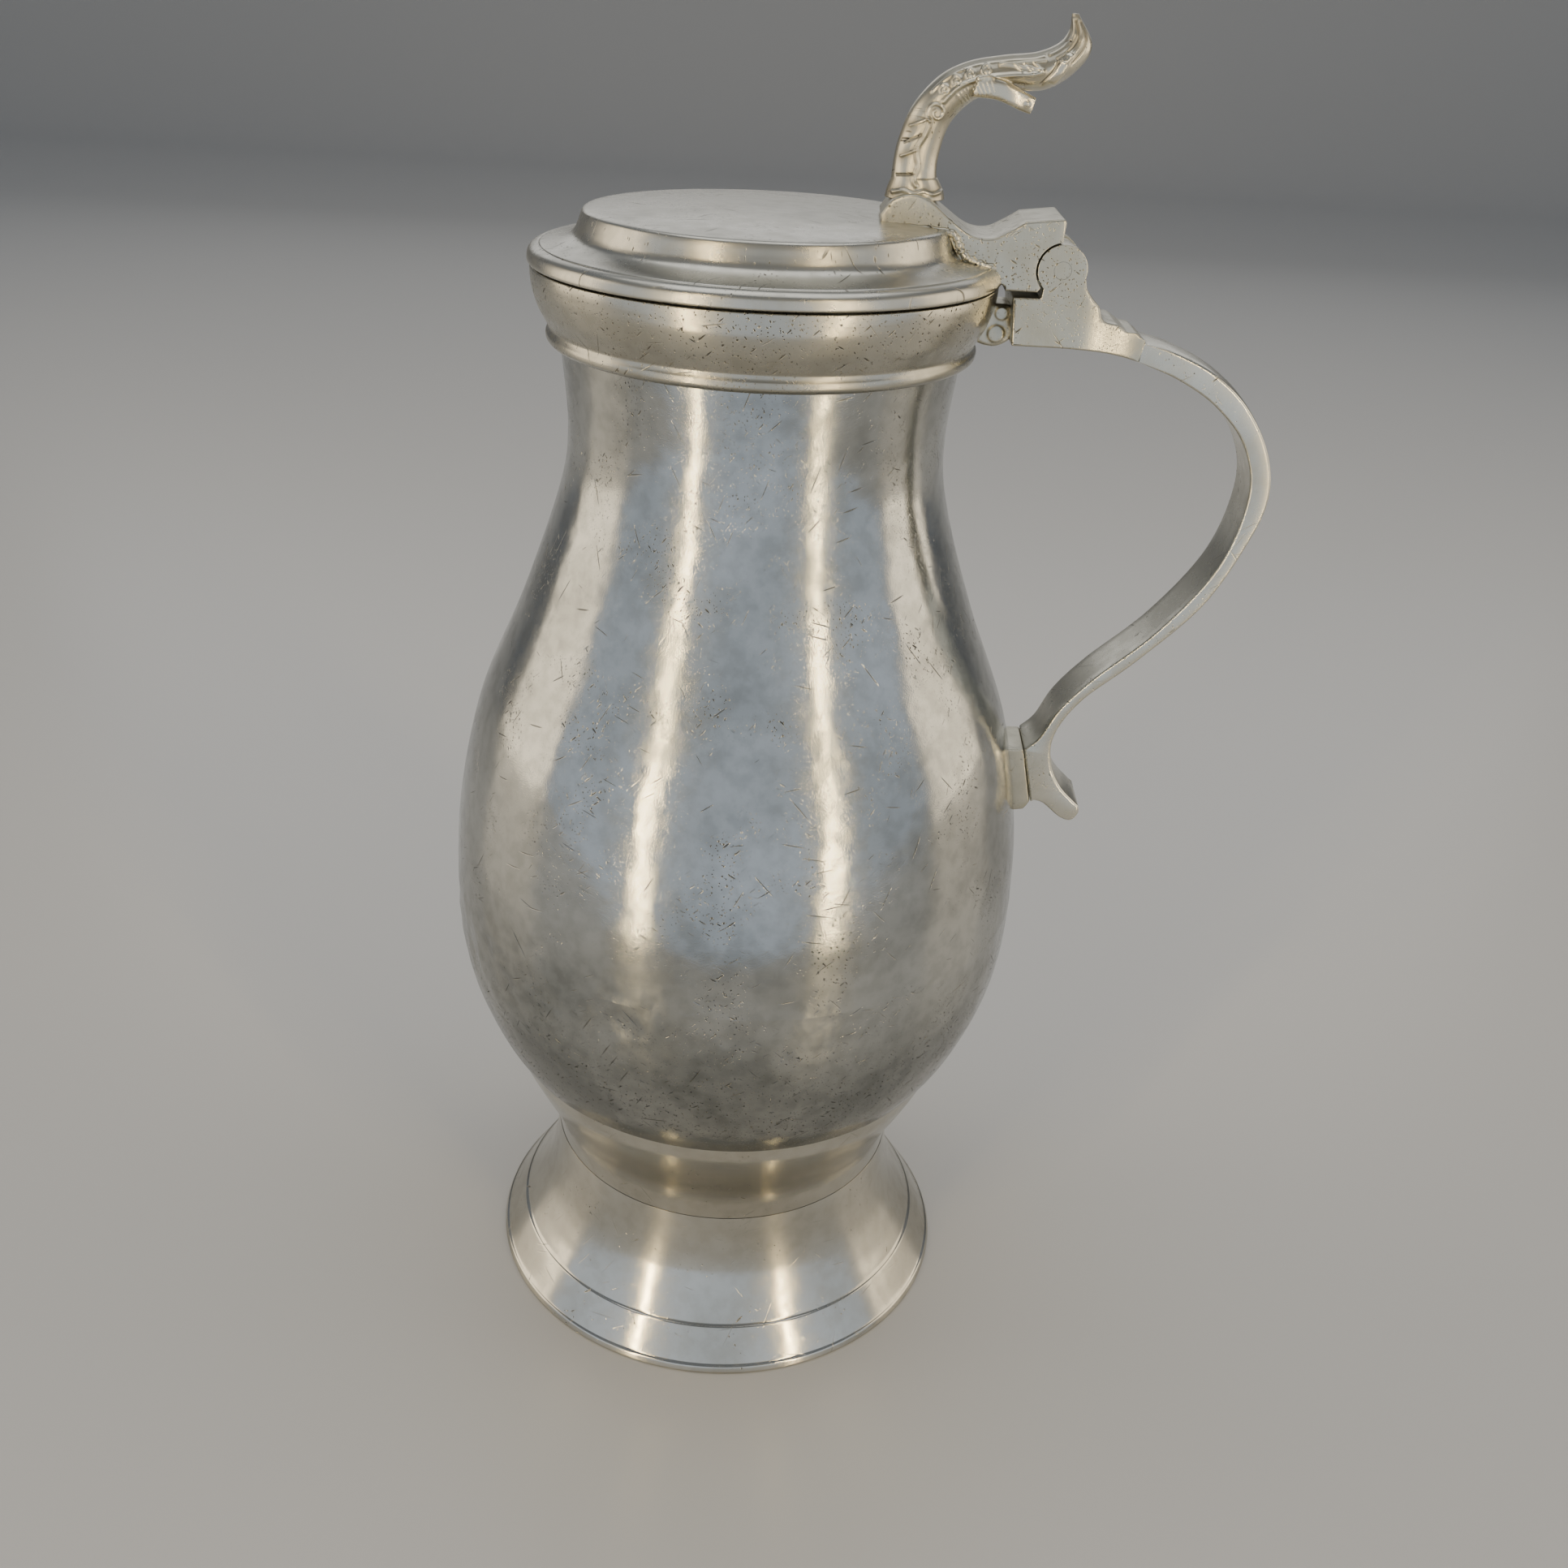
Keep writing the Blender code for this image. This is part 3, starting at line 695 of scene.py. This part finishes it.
def make_lug():
    centre = (hinge.x, hinge.z)
    bottom = SEAT - 0.4
    saddle = smooth([(22.2, 261.8), (24.4, 264.6), (27.9, 265.8), (31.2, 265.1), (35.2, 262.2),
                     (39.8, 259.3), (43.8, 258.8), (47.0, 260.2), (50.2, 262.2)], 6)
    rear = [(57.2, 263.1), (57.8, 262.6), (57.5, hinge.z + EAR_R + GAP)]
    scallop = arc(centre, EAR_R + 0.35, 98, 222, 28)
    below = [(53.9, bottom), (47.6, bottom), (47.4, 250.1), (46.4, 250.5), (42.0, 252.4), (38.0, 254.4),
             (35.6, 258.6), (22.6, 258.9)]
    outline = eased(saddle + rear, 0.5, closed=False) + scallop + below
    web = [(50.0, bottom), (hinge.x, hinge.z - TONGUE_R)]
    web += arc(centre, TONGUE_R, -85, 97, 28)
    web += [(57.0, 262.0), (50.0, 261.0)]
    cheeks = plate_mesh(outline, (HINGE_HALF, lug_half), lambda point: near_hinge(point, 0.08, 0.5))
    tongue = plate_mesh(web, TONGUE_HALF, 0.1)
    bore = bar_mesh(centre, 1.9, TONGUE_HALF + 1)
    steps = [("UNION", tongue), ("DIFFERENCE", bore)]
    steps += [("UNION", solder_bead(side)) for side in (-1, 1)]
    return keep("hinge_lug", combined(cheeks, *steps), cast_finish)


# ---- handle ---------------------------------------------------------------------------------------

def bracket_half(x):
    """Half the bracket's width, which eases from the hinge's to the strap's over 12.5 mm."""
    share = min(max((x - hinge.x - EAR_R) / 12.5, 0.0), 1.0)
    return HINGE_HALF + (STRAP_HALF - HINGE_HALF) * share * share * (3 - 2 * share)


def make_bracket():
    centre = (hinge.x, hinge.z)
    ear = arc(centre, EAR_R, 228, -14, 44)
    crest = smooth([(63.2, 250.8), (64.6, 248.8), (66.3, 247.3)], 3)
    crest += smooth([(66.7, 246.2), (67.2, 244.9), (68.6, 244.2), (70.4, 243.9)], 3)
    crest += smooth([(71.6, 243.2), (72.8, 242.5), (74.6, 242.3), (75.5, 241.6), (76.6, 240.9)], 3)
    under = smooth([(76.1, 236.7), (69.5, 238.2), (62.3, 238.9), (50.1, 238.9)], 5)
    outline = eased(ear + crest + under + [(49.3, 248.2), (54.6, 248.3)], 0.3)
    slot = arc(centre, TONGUE_R + 0.45, -90, 90, 28)
    slot += [(50.0, hinge.z + EAR_R + 1), (50.0, hinge.z - TONGUE_R - 0.45)]
    widest = max(HINGE_HALF, STRAP_HALF)

    def edge(point):
        return 0.12 if point.x > 75.8 else near_hinge(point, 0.12, 0.45)

    body = plate_mesh(outline, (widest, bracket_half), edge)
    opening = plate_mesh(slot, TONGUE_HALF + GAP, 0.05)
    bore = bar_mesh(centre, 1.7, HINGE_HALF + 2)
    mesh = combined(body, ("DIFFERENCE", bore), ("DIFFERENCE", opening))
    return keep("hinge_bracket", mesh, cast_finish)


def make_pin():
    """Riveted flush with the ears."""
    return keep("hinge_rivet", bar_mesh((hinge.x, hinge.z), 1.65, HINGE_HALF - 0.05), cast_finish)


def make_strap():
    outer = smooth([(76.2, 240.9), (83.5, 239.1), (92.0, 235.3), (99.4, 229.2), (105.2, 220.4),
                    (107.4, 211.0), (105.2, 201.0), (98.2, 186.0), (86.2, 172.2), (75.9, 162.1),
                    (71.2, 153.6), (71.4, 146.4), (74.1, 141.0), (78.0, 137.1)], 8)
    tail = smooth([(78.6, 136.2), (78.9, 134.4), (77.4, 132.3), (74.6, 133.0), (70.6, 136.2),
                   (68.2, 136.9)], 4)
    seam = [(67.6, 136.2)]
    inner = smooth([(64.5, 149.5), (67.6, 152.9), (71.0, 160.0), (77.4, 167.9), (89.4, 180.0),
                    (99.5, 195.2), (102.8, 210.5), (99.9, 221.0), (93.0, 228.5), (85.0, 233.3),
                    (75.7, 236.9)], 8)
    joint = Vector((76.45, 238.7))
    outline = eased(outer + tail + seam + inner, 0.9, closed=False)

    back = [Vector(p) for p in outer]

    def crown(point):
        """The back of the strap is slightly rounded; its inner face is flat."""
        return 0.45 if min((point - p).length for p in back) < 0.01 else 0.0

    def edge(point):
        return 0.12 + 0.43 * min(max(((point - joint).length - 2.2) / 5.0, 0.0), 1.0)

    return keep("strap", plate_mesh(outline, STRAP_HALF, edge, crown), strap_finish_painted_bright)


def body_radius(z):
    """Outer radius of the upper bulb at a height, in mm."""
    table = smooth([(BELLY_R, SEAM), (65.0, 130.0), (59.8, 155.0), (49.5, 180.0)], 12)
    return float(np.interp(z, [p[1] for p in table], [p[0] for p in table]))


def make_lower_lug():
    """Pad that follows the bulb, with its back against the strap."""
    front = [(body_radius(z) - 1.6, z) for z in (133.6, 138.0, 143.0, 149.3)]
    outline = eased(front + [(64.5, 149.4), (67.5, 136.3), (66.3, 134.2)], 0.5)
    return keep("lower_pad", plate_mesh(outline, STRAP_HALF - 0.5, 0.4), cast_finish)


def make_strut():
    """Scroll-shaped block under the lip."""
    scroll = smooth([(43.0, 245.8), (46.6, 246.0), (49.6, 245.8), (50.7, 244.3), (49.9, 242.9),
                     (50.8, 241.2), (50.2, 239.2), (47.6, 237.7), (45.0, 237.8), (43.0, 238.6)], 4)
    block = plate_mesh(scroll, 4.7, 0.9)
    boss = bar_mesh((47.2, 240.3), 1.6, 5.1)
    lobe = bar_mesh((47.9, 244.3), 1.2, 5.0)
    mesh = softened(combined(block, ("UNION", boss), ("UNION", lobe)), 0.2, 9)
    return keep("scroll_strut", mesh, cast_finish)


# ---- thumbpiece -----------------------------------------------------------------------------------

FRONT_EDGE = [(23.9, 266.0), (23.9, 270.0), (24.6, 275.0), (26.8, 281.0), (31.2, 286.2), (36.4, 289.0),
              (43.0, 290.4), (49.0, 291.2), (53.0, 292.9), (54.6, 295.2), (54.7, 298.0)]
BACK_EDGE = [(33.6, 266.0), (32.6, 269.0), (32.7, 272.6), (34.0, 277.6), (36.6, 281.0), (40.0, 283.2),
             (45.0, 284.4), (51.4, 284.8), (56.6, 288.0), (59.2, 292.6), (56.0, 297.9)]
RINGS = 12


def scroll_path():
    """Front and back edges of the scroll, sampled together, in mm."""
    return smooth(FRONT_EDGE, RINGS), smooth(BACK_EDGE, RINGS)


def half_width_along(t):
    """Half the scroll's width at t from 0 at the foot to 1 at the tip."""
    places = [0, 0.12, 0.35, 0.6, 0.75, 0.9, 1.0]
    return float(np.interp(t, places, [5.2, 4.0, 3.9, 4.6, 4.4, 2.8, 0.8]))


def swept(shape, sections, sides=40, power=1.15):
    """Adds a closed skin round sections, each (front point, back point, y centre, half width), in mm.

    A power over 1 gives the section a ridge on each side, and one under 1 makes it squarish.
    """
    rings = []
    for front, back, across, half in sections:
        middle = (Vector(front) + Vector(back)) / 2
        reach = (Vector(front) - Vector(back)) / 2
        ring = []
        for k in range(sides):
            angle = 2 * math.pi * k / sides
            c, s = math.cos(angle), math.sin(angle)
            c, s = math.copysign(abs(c) ** power, c), math.copysign(abs(s) ** power, s)
            spot = middle + reach * c
            ring.append(shape.verts.new((spot.x * MM, (across + half * s) * MM, spot.y * MM)))
        rings.append(ring)
    for one, two in zip(rings, rings[1:]):
        for k in range(sides):
            j = (k + 1) % sides
            shape.faces.new((one[k], one[j], two[j], two[k]))
    shape.faces.new(rings[0])
    shape.faces.new(rings[-1])


def thumbpiece_blank():
    """The scroll, its two side barbs and its foot, fused into one even mesh."""
    front, back = scroll_path()
    count = len(front)
    shape = bmesh.new()
    halves = [half_width_along(i / (count - 1)) for i in range(count)]
    swept(shape, [(f, b, 0.0, half) for f, b, half in zip(front, back, halves)])
    for side in (-1, 1):
        spine = smooth([(38.0, 285.0), (42.3, 284.7), (44.9, 283.8), (47.2, 282.8), (49.2, 282.1)], 6)
        total = len(spine) - 1
        leaf = []
        for i, point in enumerate(spine):
            t = i / total
            thick = 1.9 - 0.45 * t
            across = side * (3.5 + 0.8 * math.sin(math.pi * min(t * 1.2, 1)))
            over = (point[0] + 0.3 * thick, point[1] + thick)
            under = (point[0] - 0.25 * thick, point[1] - thick)
            leaf.append((over, under, across, 1.6 - 0.7 * t))
        swept(shape, leaf, 24, 0.7)
    foot = smooth([(22.8, 264.4), (23.2, 266.2), (23.9, 268.2)], 4)
    heel = smooth([(34.6, 264.4), (34.2, 266.0), (32.9, 268.2)], 4)
    swept(shape, [(f, b, 0.0, 5.9 - 0.16 * i) for i, (f, b) in enumerate(zip(foot, heel))])
    bmesh.ops.recalc_face_normals(shape, faces=shape.faces)
    mesh = bpy.data.meshes.new("thumbpiece_blank")
    shape.to_mesh(mesh)
    shape.free()
    return softened(mesh, 0.15, 3)


def on_scroll(t, out):
    """Place (x, z) in mm on the scroll's side.

    t runs from 0 at its foot to 1 at its tip, and out from -1 on its back edge to 1 on its front edge.
    """
    front, back = (np.array(edge) for edge in scroll_path())
    steps = np.linspace(0, 1, len(front))
    edge = (front * (1 + out) + back * (1 - out)) / 2
    return float(np.interp(t, steps, edge[:, 0])), float(np.interp(t, steps, edge[:, 1]))


def run_along(start, stop, out, sway=0.0, waves=1):
    """Line along the scroll that sways from side to side."""
    line = []
    for share in np.linspace(0, 1, 13):
        swing = sway * math.sin(2 * math.pi * waves * share)
        line.append(on_scroll(start + (stop - start) * share, out + swing))
    return line


def leaf_curl(t, out, radius):
    """Spiral of one and a quarter turns that closes in on its centre, which t and out place."""
    x, z = on_scroll(t, out)
    line = []
    for share in np.linspace(0, 1, 13):
        angle = math.radians(230 - 450 * share)
        reach = radius * (1 - 0.7 * share)
        line.append((x + reach * math.cos(angle), z + reach * math.sin(angle)))
    return line


def chasing():
    """Leaf work of the scroll's sides: each (height, half width, line) in mm, cut in below zero."""
    # Rope line up the middle of the stem, and on over the hook
    lines = [(0.55, 0.36, run_along(0.03, 0.29, 0.0, 0.08, 2))]
    lines += [(0.60, 0.36, run_along(0.36, 0.70, 0.0, 0.06))]
    # Line under the crest, and the curls between it and the rope
    lines += [(0.20, 0.24, run_along(0.36, 0.72, 0.72))]
    lines += [(0.36, 0.26, leaf_curl(0.32, -0.1, 1.9))]
    lines += [(0.34, 0.22, leaf_curl(0.39 + 0.05 * k, 0.38, 0.9)) for k in range(4)]
    # Veined triangle before the tip
    lines += [(0.28, 0.22, [on_scroll(0.58, 0.6), on_scroll(0.70, 0.1)])]
    lines += [(0.24, 0.20, [on_scroll(0.58, 0.5), on_scroll(0.72, 0.5)])]
    lines += [(0.20, 0.18, [on_scroll(0.62 + 0.03 * k, 0.5), on_scroll(0.64 + 0.03 * k, 0.1)])
              for k in range(3)]
    # Fold of the large leaf behind it
    fold = [(0.80, 0.1), (0.77, -0.3), (0.73, -0.7)]
    lines += [(0.50, 0.85, [on_scroll(*place) for place in fold])]
    lines += [(-0.40, 0.28, [on_scroll(t - 0.04, out + 0.1) for t, out in fold])]
    # Flutes that run out along the curled tip, raised and cut in turn
    lines += [((0.26, -0.28)[k % 2], 0.23, run_along(0.74 + 0.02 * k, 0.97, 0.7 - 0.35 * k))
              for k in range(4)]
    # Slanting folds of the stem
    lines += [(-0.28, 0.20, [on_scroll(0.07, 0.8), on_scroll(0.09, 0.1)])]
    lines += [((0.22, -0.20)[k % 2], 0.24,
               [on_scroll(0.15 + 0.05 * k, 0.7), on_scroll(0.19 + 0.05 * k, 0.1)]) for k in range(3)]
    # Jagged collar at the foot, and the knob at the end of the barb
    lines += [(0.40, 0.34, [(24.4 + 1.9 * k, 265.6 + 0.5 * (k % 2)) for k in range(6)])]
    lines += [(0.40, 0.55, [(48.0, 282.5), (48.1, 282.4)])]
    # Faint ribs across the plain face under the rope, and the hatching along the barb
    lines += [(0.07, 0.26, [on_scroll(0.41 + 0.015 * k, -0.2), on_scroll(0.41 + 0.015 * k, -0.8)])
              for k in range(10)]
    lines += [(-0.16, 0.15, [(43.7 + 0.6 * k, 286.2 - 0.22 * k), (44.5 + 0.6 * k, 285.4 - 0.22 * k)])
              for k in range(9)]
    return lines


def raised_line(flat, line, half_width):
    """1 on the line and 0 away from it, for each (x, z) place in mm."""
    line = smooth(line, 4) if len(line) > 2 else line
    nearest = np.full(len(flat), 1e9)
    for start, stop in zip(np.array(line), np.array(line[1:])):
        way = stop - start
        share = np.clip((flat - start) @ way / (way @ way), 0, 1)
        gap = flat - start - share[:, None] * way
        nearest = np.minimum(nearest, np.hypot(gap[:, 0], gap[:, 1]))
    return np.exp(-(nearest / half_width) ** 2)


def make_thumbpiece():
    mesh = thumbpiece_blank()
    count = len(mesh.vertices)
    spots = np.empty(count * 3)
    mesh.vertices.foreach_get("co", spots)
    spots = spots.reshape(-1, 3) / MM
    normals = np.empty(count * 3)
    mesh.vertex_normals.foreach_get("vector", normals)
    normals = normals.reshape(-1, 3)
    flat = spots[:, [0, 2]]
    lines = chasing()
    height = sum(tall * raised_line(flat, line, half) for tall, half, line in lines)
    ground = np.max([raised_line(flat, line, 1.0) for tall, half, line in lines if tall > 0.1], axis=0)
    sideways = np.clip((np.abs(normals[:, 1]) - 0.15) * 2.5, 0, 1)
    height *= sideways
    spots += normals * height[:, None]
    mesh.vertices.foreach_set("co", (spots * MM).ravel())
    # Painted shade: dark in the grooves and on the ground beside the raised lines, none on the raised
    # lines.
    painted_groove_shade = mesh.attributes.new("painted_groove_shade", "FLOAT", "POINT")
    painted_groove_shade.data.foreach_set("value", np.clip(0.40 * ground * sideways - height * 2.0, 0, 0.5))
    mesh.update()
    return keep("thumb_scroll", mesh, relief_finish_and_shade, 80)


# ---- build ----------------------------------------------------------------------------------------

settle(make_foot(), "vessel", "polished_foot", "foot")
settle(make_collar(), "vessel", "polished_foot", "foot_collar")
settle(make_floor(), "vessel", "inside_pewter", "floor_disc")
settle(make_body_lower(), "vessel", "body_pewter", "body_lower")
settle(make_body_upper(), "vessel", "body_pewter", "body_upper")
settle(make_lip(), "vessel", "lip_pewter", "lip_band")
settle(make_bracket(), "vessel", "cast_pewter", "handle_bracket")
settle(make_pin(), "vessel", "cast_pewter", "hinge_pin")
settle(make_strap(), "vessel", "handle_pewter", "handle_strap")
settle(make_lower_lug(), "vessel", "cast_pewter", "lower_lug")
settle(make_strut(), "vessel", "cast_pewter", "upper_strut")
settle(make_lid_cover(), "lid", "lid_pewter", "lid_cover")
settle(make_bezel(), "lid", "inside_pewter", "lid_bezel")
settle(make_lug(), "lid", "cast_pewter", "lid_hinge_lug")
settle(make_thumbpiece(), "lid", "thumbpiece_pewter", "thumbpiece")


# ---- studio ---------------------------------------------------------------------------------------

def plain_material(name, color, roughness):
    made = bpy.data.materials.new(name)
    made.use_nodes = True
    shader = made.node_tree.nodes["Principled BSDF"]
    shader.inputs["Base Color"].default_value = linear(color)
    shader.inputs["Roughness"].default_value = roughness
    return made


def make_floor_sweep():
    """Pale floor that ends 0.38 m in front and curves up into a backdrop far behind."""
    back, rise, radius, wide = 2.4, 2.2, 0.8, 3.5
    curve = [(-0.38, 0.0)]
    curve += [(back + radius * math.sin(a), radius - radius * math.cos(a))
              for a in np.linspace(0, math.pi / 2, 16)]
    curve.append((back + radius, rise))
    verts = [(x, y, z) for x in (-wide, wide) for y, z in curve]
    count = len(curve)
    faces = [(i, i + count, i + count + 1, i + 1) for i in range(count - 1)]
    mesh = bpy.data.meshes.new("studio_floor")
    mesh.from_pydata(verts, [], faces)
    mesh.materials.append(plain_material("pale_satin_sheet", "#bbbbba", 0.3))
    mesh.shade_smooth()
    floor = bpy.data.objects.new("studio_floor", mesh)
    bpy.context.collection.objects.link(floor)


def softbox(name, place, target, size, power, color):
    light = bpy.data.lights.new(name, "AREA")
    light.shape = "RECTANGLE"
    light.size, light.size_y = size
    light.energy = power
    light.color = linear(color)[:3]
    lamp = bpy.data.objects.new(name, light)
    bpy.context.collection.objects.link(lamp)
    lamp.location = place
    aim = Vector(target) - Vector(place)
    lamp.rotation_euler = aim.to_track_quat("-Z", "Y").to_euler()
    return lamp


def around(azimuth, distance, height):
    """A place seen from the vessel at that azimuth, counted to the right of the camera, in degrees."""
    angle = math.radians(azimuth)
    return (distance * math.sin(angle), -distance * math.cos(angle), height)


make_floor_sweep()
# The panels stand upright round the front and sides and reach below the floor's front edge, so that the
# neck and the handle reflect them too. Each is (azimuth, distance, centre height, size, power, colour).
PANELS = {
    "strip_left": (-32.5, 1.5, 0.3, (0.05, 2.6), 17, "#ffe4ae"),
    "strip_right": (39.5, 1.5, 0.3, (0.045, 2.6), 16, "#ffe4ae"),
    "front_panel": (2, 1.9, 0.1, (2.5, 2.6), 14, "#dde7f4"),
    "left_fill": (-57, 1.9, 0.1, (1.45, 2.6), 8, "#dde7f4"),
    "right_fill": (61, 1.9, 0.1, (1.45, 2.6), 8, "#dde7f4"),
    "left_wall": (-96, 1.3, 0.3, (0.8, 1.6), 9, "#ffedcf"),
    "right_wall": (101, 1.3, 0.3, (0.8, 1.6), 9, "#ffedcf"),
    "rear_panel": (180, 1.8, 1.0, (2.2, 0.9), 6, "#ffffff"),
}
for label, (azimuth, distance, height, size, power, color) in PANELS.items():
    softbox(label, around(azimuth, distance, height), (0, 0, height), size, power, color)
softbox("ceiling", (0, 0.3, 1.9), (0, 0, 0.14), (1.8, 1.4), 12, "#ffffff")

world = bpy.data.worlds.new("studio")
world.use_nodes = True
world.node_tree.nodes["Background"].inputs["Color"].default_value = linear("#9299a3")
world.node_tree.nodes["Background"].inputs["Strength"].default_value = 0.65
bpy.context.scene.world = world

# Camera: turned 2.4 degrees from the handle's plane, looking 28 degrees down, held with a slight roll.
CAMERA_TURN = math.radians(2.4)
CAMERA_PITCH = math.radians(28.19)
CAMERA_ROLL = math.radians(2.86)
CAMERA_BACK, CAMERA_HEIGHT = 0.32922, 0.30322

camera = bpy.data.objects.new("camera", bpy.data.cameras.new("camera"))
bpy.context.collection.objects.link(camera)
camera.data.lens = 35.97
camera.data.sensor_width = 36.0
camera.data.shift_x = 0.0296
camera.data.shift_y = 0.0133
camera.data.clip_start = 0.01
stand = Vector((CAMERA_BACK * math.sin(CAMERA_TURN), -CAMERA_BACK * math.cos(CAMERA_TURN),
                CAMERA_HEIGHT))
turned_to = (Matrix.Rotation(CAMERA_TURN, 4, "Z")
             @ Matrix.Rotation(math.pi / 2 - CAMERA_PITCH, 4, "X")
             @ Matrix.Rotation(CAMERA_ROLL, 4, "Z"))
camera.matrix_world = Matrix.Translation(stand) @ turned_to
bpy.context.scene.camera = camera
